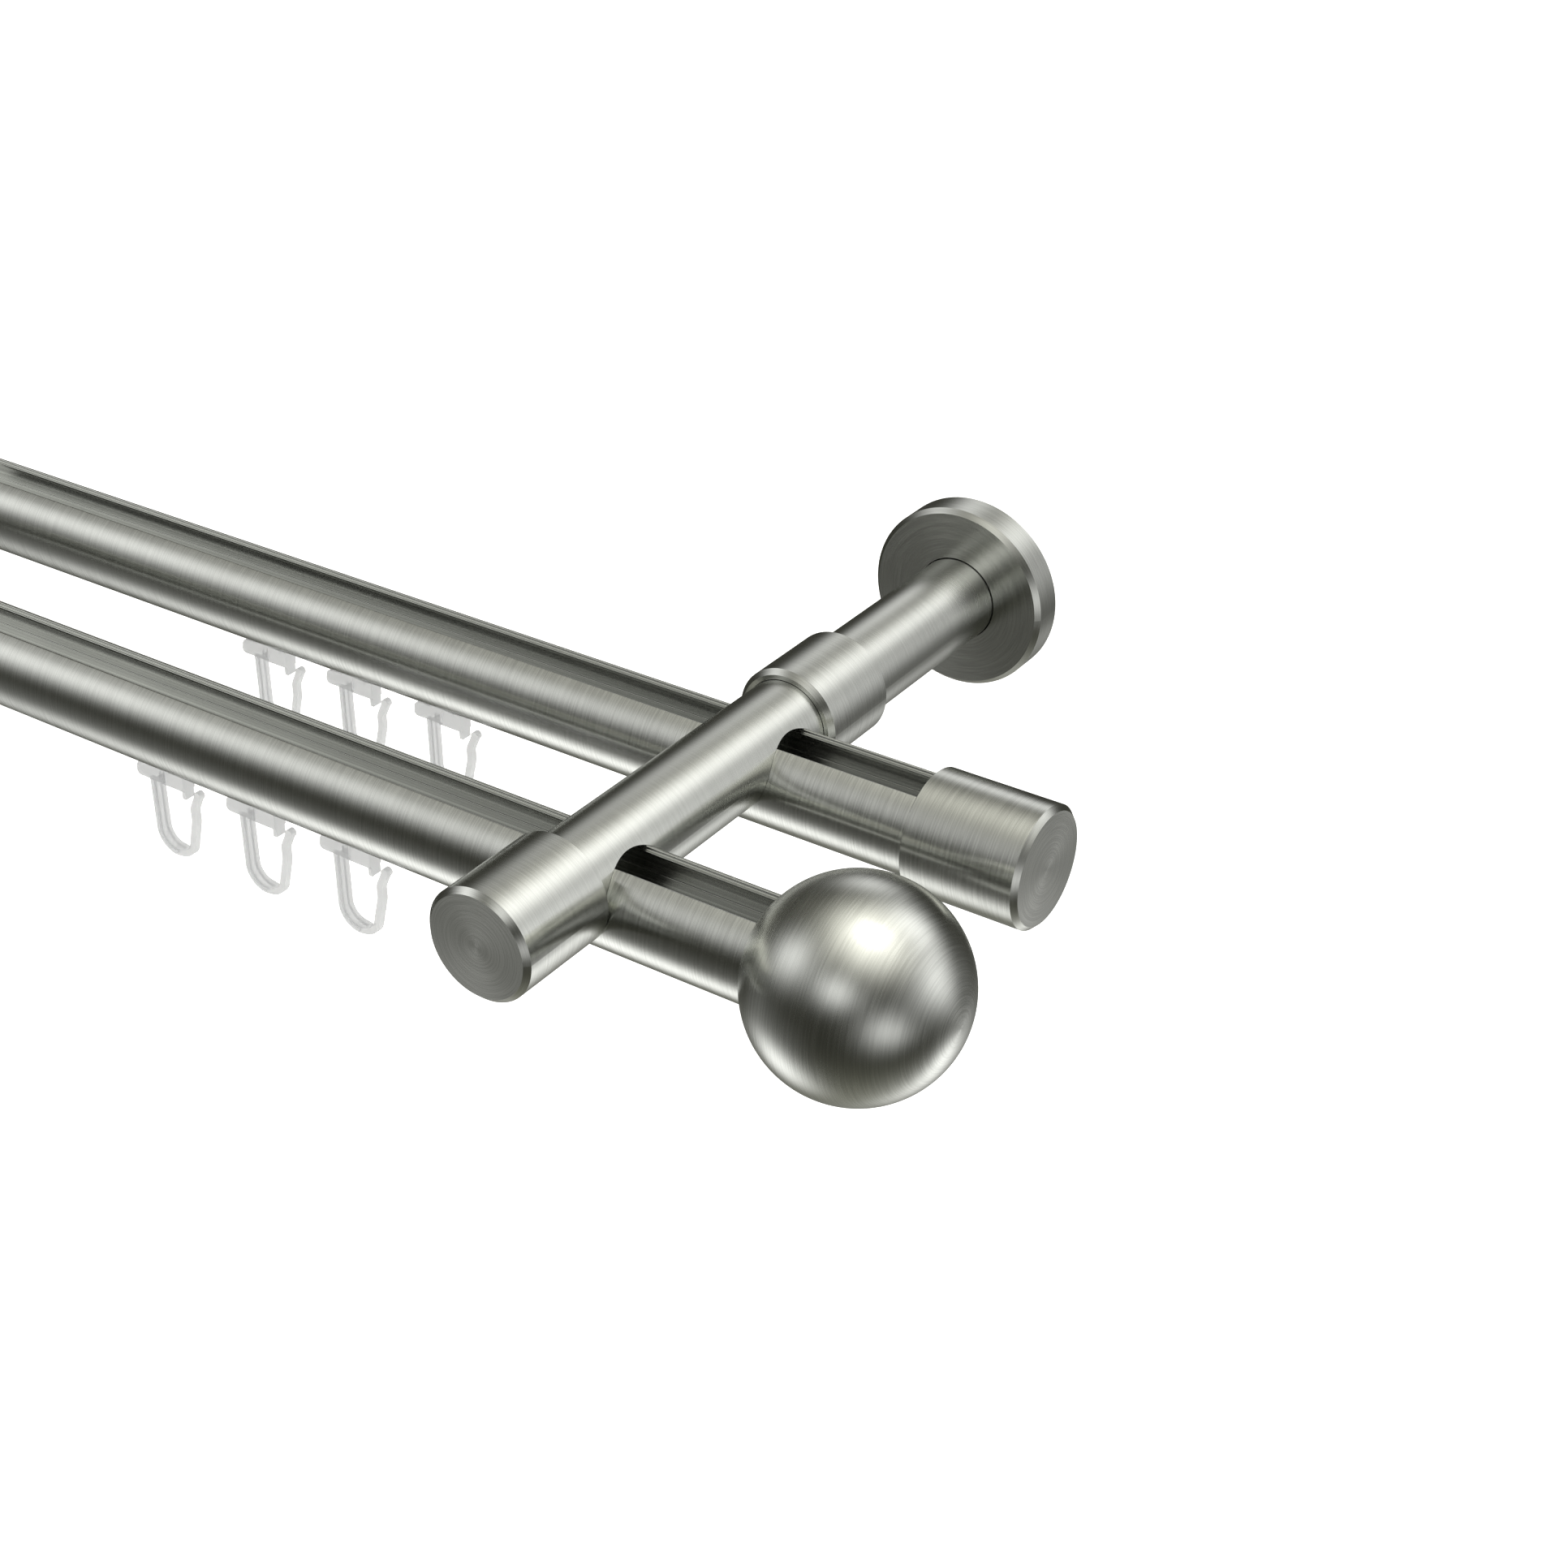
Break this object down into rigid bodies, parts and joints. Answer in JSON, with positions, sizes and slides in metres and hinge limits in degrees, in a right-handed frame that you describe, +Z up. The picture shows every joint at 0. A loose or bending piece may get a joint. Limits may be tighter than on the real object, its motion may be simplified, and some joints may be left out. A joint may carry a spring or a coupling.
{
  "type": "curtain rod",
  "caption": "Right-hand end of a double curtain rod: two slotted round rails on one wall arm, with a ball and a sleeve on their ends and hook gliders below.",
  "frame": {"origin": "middle of the wall face, on the axis of the arm", "axes": "+X along the rails to the end with the ball and the sleeve, +Y into the wall, +Z up"},
  "size_m": [0.3, 0.1642, 0.0568],
  "materials": {
    "rail_metal": "brushed round the rail, anodised in a steel colour",
    "arm_metal": "satin",
    "turned_metal": "turned and brushed round its axis",
    "ball_metal": "turned and brushed",
    "plate_steel": "zinc plated",
    "grub_steel": "plain steel",
    "glider_plastic": "natural translucent nylon"
  },
  "bodies": {
    "rod": {"front_rail": "rail_metal", "rear_rail": "rail_metal", "bracket_arm": "arm_metal", "front_rail_screw": "grub_steel", "rear_rail_screw": "grub_steel", "arm_end_cap": "turned_metal", "arm_cap_screw": "grub_steel", "arm_collar": "turned_metal", "collar_arm_screw": "grub_steel", "collar_tube_screw": "grub_steel", "wall_tube": "arm_metal", "wall_tube_screw": "grub_steel", "wall_plate": "plate_steel", "wall_rosette": "turned_metal", "rosette_screw": "grub_steel", "ball_finial": "ball_metal", "ball_screw": "grub_steel", "rear_end_cap": "turned_metal", "end_cap_screw": "grub_steel"},
    "front_glider_1": {"front_glider_1": "glider_plastic"},
    "front_glider_2": {"front_glider_2": "glider_plastic"},
    "front_glider_3": {"front_glider_3": "glider_plastic"},
    "rear_glider_1": {"rear_glider_1": "glider_plastic"},
    "rear_glider_2": {"rear_glider_2": "glider_plastic"},
    "rear_glider_3": {"rear_glider_3": "glider_plastic"}
  },
  "joints": [
    {"name": "front_glider_1_slide", "type": "slide", "parent": "rod", "child": "front_glider_1", "axis": [1, 0, 0], "range_m": [-0.109, 0.0042]},
    {"name": "front_glider_2_slide", "type": "slide", "parent": "rod", "child": "front_glider_2", "axis": [1, 0, 0], "range_m": [-0.0042, 0.0042]},
    {"name": "front_glider_3_slide", "type": "slide", "parent": "rod", "child": "front_glider_3", "axis": [1, 0, 0], "range_m": [-0.0042, 0.091]},
    {"name": "rear_glider_1_slide", "type": "slide", "parent": "rod", "child": "rear_glider_1", "axis": [1, 0, 0], "range_m": [-0.0893, 0.0042]},
    {"name": "rear_glider_2_slide", "type": "slide", "parent": "rod", "child": "rear_glider_2", "axis": [1, 0, 0], "range_m": [-0.0042, 0.0042]},
    {"name": "rear_glider_3_slide", "type": "slide", "parent": "rod", "child": "rear_glider_3", "axis": [1, 0, 0], "range_m": [-0.0042, 0.112]}
  ]
}
